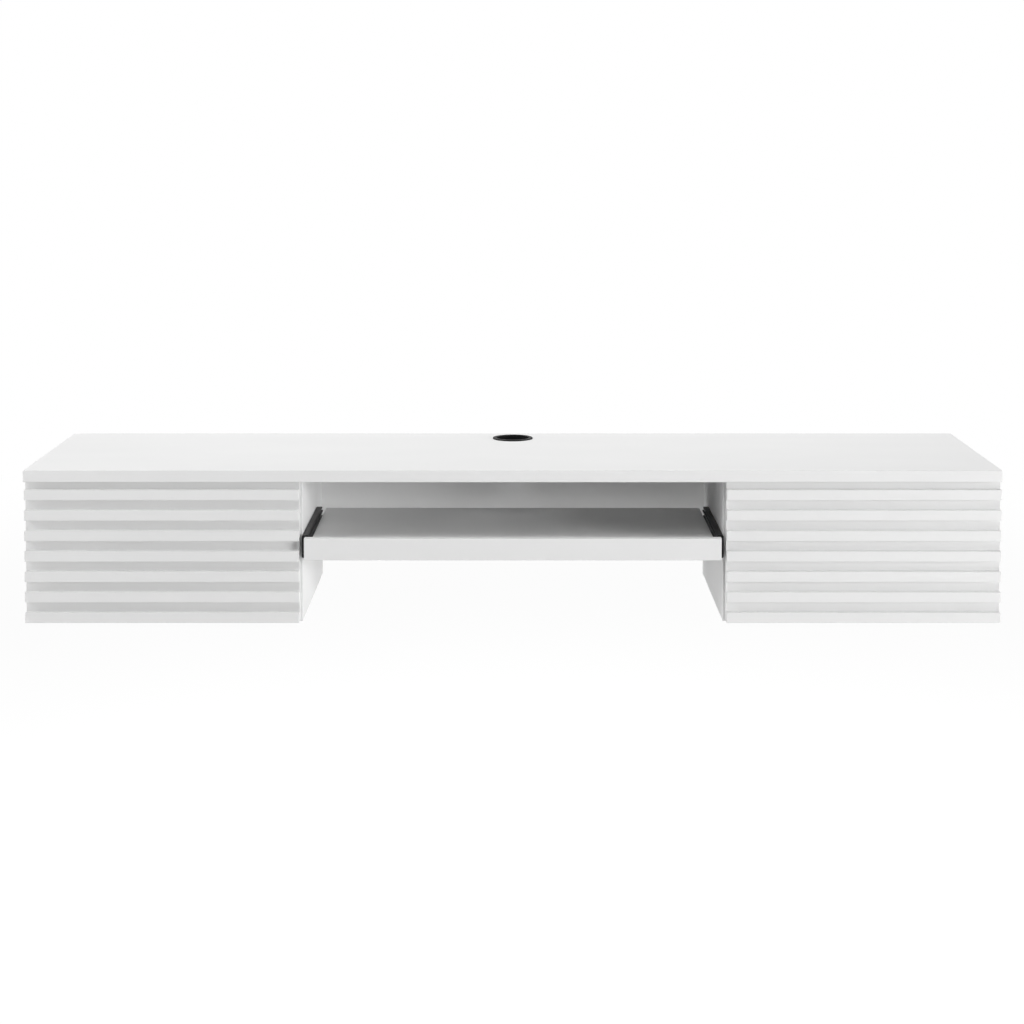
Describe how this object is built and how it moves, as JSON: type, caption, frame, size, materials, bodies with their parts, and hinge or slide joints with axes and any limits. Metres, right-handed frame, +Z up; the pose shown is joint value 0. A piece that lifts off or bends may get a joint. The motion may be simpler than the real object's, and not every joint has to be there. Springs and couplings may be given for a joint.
{
  "type": "floating wall desk",
  "caption": "Wall-hung desk with slat-fronted flap cabinets either side of an open bay, a pull-out keyboard tray on ball-bearing slides and a cable grommet.",
  "frame": {"origin": "middle of the row of wall screws, on the wall", "axes": "+X along the wall to the right as seen from the front, +Y into the wall so the front faces -Y, +Z up"},
  "size_m": [1.5, 0.394, 0.2426],
  "materials": {
    "white_board": "satin white lacquered board",
    "black_plastic": "moulded black",
    "black_steel": "black electrocoated sheet",
    "zinc_steel": "zinc plated",
    "nickel_steel": "nickel plated",
    "ball_steel": "polished",
    "zinc_casting": "bright die casting",
    "white_plastic": "moulded white",
    "nylon": "natural nylon",
    "clear_rubber": "soft translucent",
    "beech": "fluted beech",
    "raw_board": "plain plywood"
  },
  "bodies": {
    "desk": {"top_panel": "white_board", "cable_grommet": "black_plastic", "centre_back_rail": "white_board", "desk_cleat": "raw_board", "wall_cleat": "raw_board", "wall_spacers": "raw_board", "cam_housings": "zinc_casting", "cam_bolts": "zinc_steel", "wooden_dowels": "beech", "cleat_screws": "zinc_steel", "cabinet_screws": "zinc_steel", "hinge_pins": "nickel_steel", "stay_posts": "nickel_steel", "door_catches": "white_plastic", "door_bumpers": "clear_rubber", "right_outer_side": "white_board", "right_inner_side": "white_board", "right_bottom_panel": "white_board", "right_back_panel": "white_board", "right_hinge_carcass_leaf": "nickel_steel", "right_slide_outer": "black_steel", "left_outer_side": "white_board", "left_inner_side": "white_board", "left_bottom_panel": "white_board", "left_back_panel": "white_board", "left_hinge_carcass_leaf": "nickel_steel", "left_slide_outer": "black_steel"},
    "right_door": {"right_door_board": "white_board", "right_door_slats": "white_board", "right_hinge_door_leaf": "nickel_steel", "right_door_screws": "zinc_steel", "right_stay_bracket": "nickel_steel", "right_strike_plate": "zinc_steel"},
    "left_door": {"left_door_board": "white_board", "left_door_slats": "white_board", "left_hinge_door_leaf": "nickel_steel", "left_door_screws": "zinc_steel", "left_stay_bracket": "nickel_steel", "left_strike_plate": "zinc_steel"},
    "right_stay_arm": {"right_stay_arm": "nickel_steel"},
    "right_stay_guide": {"right_stay_guide": "nylon"},
    "left_stay_arm": {"left_stay_arm": "nickel_steel"},
    "left_stay_guide": {"left_stay_guide": "nylon"},
    "tray": {"tray_board": "white_board", "tray_front_rail": "white_board", "tray_dowels": "beech", "tray_screws": "zinc_steel", "right_slide_inner": "black_steel", "left_slide_inner": "black_steel"},
    "right_slide_middle": {"right_slide_middle": "black_steel"},
    "right_slide_outer_cage": {"right_slide_outer_cage": "zinc_steel", "right_slide_outer_balls": "ball_steel"},
    "right_slide_inner_cage": {"right_slide_inner_cage": "zinc_steel", "right_slide_inner_balls": "ball_steel"},
    "left_slide_middle": {"left_slide_middle": "black_steel"},
    "left_slide_outer_cage": {"left_slide_outer_cage": "zinc_steel", "left_slide_outer_balls": "ball_steel"},
    "left_slide_inner_cage": {"left_slide_inner_cage": "zinc_steel", "left_slide_inner_balls": "ball_steel"}
  },
  "joints": [
    {"name": "right_flap", "type": "hinge", "parent": "desk", "child": "right_door", "pos_m": [0.5375, -0.366, -0.1162], "axis": [1, 0, 0], "range_deg": [0, 90]},
    {"name": "left_flap", "type": "hinge", "parent": "desk", "child": "left_door", "pos_m": [-0.5375, -0.366, -0.1162], "axis": [1, 0, 0], "range_deg": [0, 90]},
    {"name": "right_stay_pivot", "type": "hinge", "parent": "right_door", "child": "right_stay_arm", "pos_m": [0.7271, -0.356, 0.0018], "axis": [1, 0, 0], "range_deg": [-45, 0]},
    {"name": "right_guide_swivel", "type": "hinge", "parent": "desk", "child": "right_stay_guide", "pos_m": [0.729, -0.29834, -0.01901], "axis": [1, 0, 0], "range_deg": [0, 45]},
    {"name": "left_stay_pivot", "type": "hinge", "parent": "left_door", "child": "left_stay_arm", "pos_m": [-0.7271, -0.356, 0.0018], "axis": [1, 0, 0], "range_deg": [-45, 0]},
    {"name": "left_guide_swivel", "type": "hinge", "parent": "desk", "child": "left_stay_guide", "pos_m": [-0.729, -0.29834, -0.01901], "axis": [1, 0, 0], "range_deg": [0, 45]},
    {"name": "tray_travel", "type": "slide", "parent": "desk", "child": "tray", "axis": [0, -1, 0], "range_m": [0, 0.25]},
    {"name": "right_slide_middle_travel", "type": "slide", "parent": "desk", "child": "right_slide_middle", "axis": [0, -1, 0], "range_m": [0, 0.125]},
    {"name": "right_slide_outer_cage_travel", "type": "slide", "parent": "desk", "child": "right_slide_outer_cage", "axis": [0, -1, 0], "range_m": [0, 0.0625]},
    {"name": "right_slide_inner_cage_travel", "type": "slide", "parent": "desk", "child": "right_slide_inner_cage", "axis": [0, -1, 0], "range_m": [0, 0.1875]},
    {"name": "left_slide_middle_travel", "type": "slide", "parent": "desk", "child": "left_slide_middle", "axis": [0, -1, 0], "range_m": [0, 0.125]},
    {"name": "left_slide_outer_cage_travel", "type": "slide", "parent": "desk", "child": "left_slide_outer_cage", "axis": [0, -1, 0], "range_m": [0, 0.0625]},
    {"name": "left_slide_inner_cage_travel", "type": "slide", "parent": "desk", "child": "left_slide_inner_cage", "axis": [0, -1, 0], "range_m": [0, 0.1875]}
  ],
  "couplings": [
    {"joint": "right_stay_pivot", "follows": "right_flap", "ratio": -0.5},
    {"joint": "right_guide_swivel", "follows": "right_flap", "ratio": 0.5},
    {"joint": "left_stay_pivot", "follows": "left_flap", "ratio": -0.5},
    {"joint": "left_guide_swivel", "follows": "left_flap", "ratio": 0.5},
    {"joint": "right_slide_middle_travel", "follows": "tray_travel", "ratio": 0.5},
    {"joint": "right_slide_outer_cage_travel", "follows": "tray_travel", "ratio": 0.25},
    {"joint": "right_slide_inner_cage_travel", "follows": "tray_travel", "ratio": 0.75},
    {"joint": "left_slide_middle_travel", "follows": "tray_travel", "ratio": 0.5},
    {"joint": "left_slide_outer_cage_travel", "follows": "tray_travel", "ratio": 0.25},
    {"joint": "left_slide_inner_cage_travel", "follows": "tray_travel", "ratio": 0.75}
  ]
}
